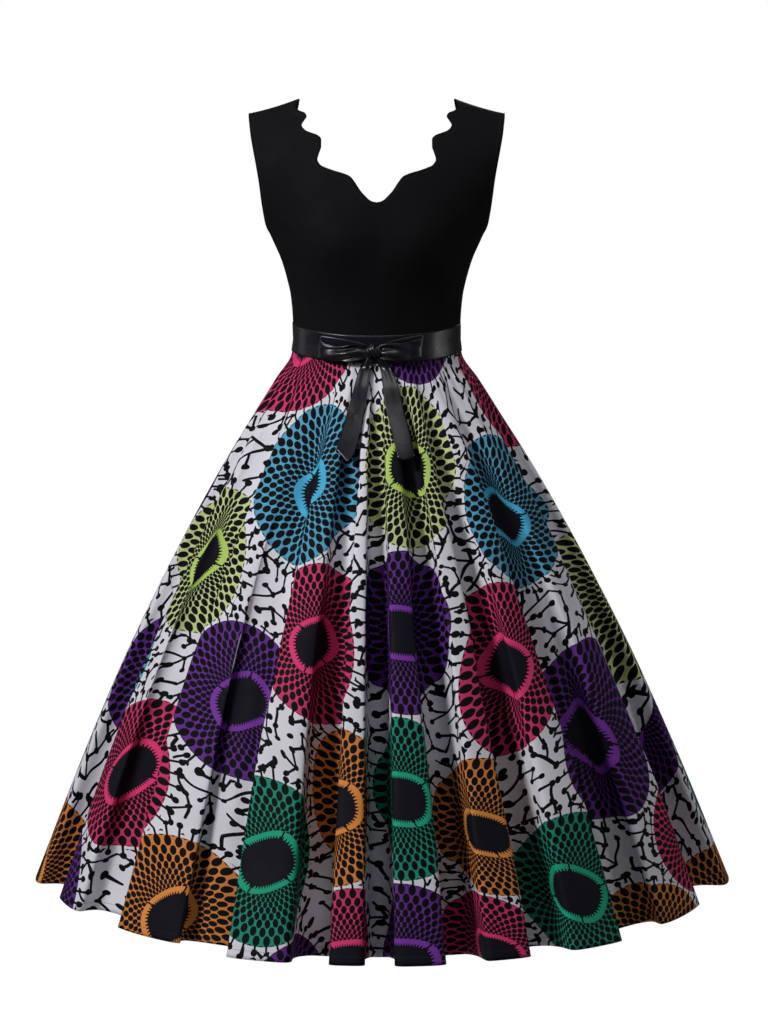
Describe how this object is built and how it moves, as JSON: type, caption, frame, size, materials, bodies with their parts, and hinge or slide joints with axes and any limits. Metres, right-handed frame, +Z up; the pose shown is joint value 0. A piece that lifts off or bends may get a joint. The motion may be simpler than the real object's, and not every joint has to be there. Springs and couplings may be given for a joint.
{
  "type": "sleeveless swing dress",
  "caption": "Sleeveless dress with a scalloped V neck, a ribbon belt tied in a bow and a flared, fluted skirt, in the hollow form it has when worn.",
  "frame": {"origin": "midway between the shoulder straps, level with the top of their seams", "axes": "+Z up, -Y to the front of the dress, +X to the wearer's left"},
  "size_m": [0.975, 0.9675, 1.1031],
  "materials": {
    "black_knit": "smooth matte black stretch knit",
    "printed_cloth": "white cotton-like cloth printed with coloured discs",
    "black_satin": "black satin ribbon"
  },
  "bodies": {
    "root": {"bodice_front": "black_knit", "bodice_back": "black_knit", "skirt_front": "printed_cloth", "skirt_back": "printed_cloth", "belt_band": "black_satin", "bow_knot": "black_satin", "bow_loop_left": "black_satin", "bow_loop_right": "black_satin", "bow_tail_left": "black_satin", "bow_tail_right": "black_satin"}
  },
  "joints": []
}
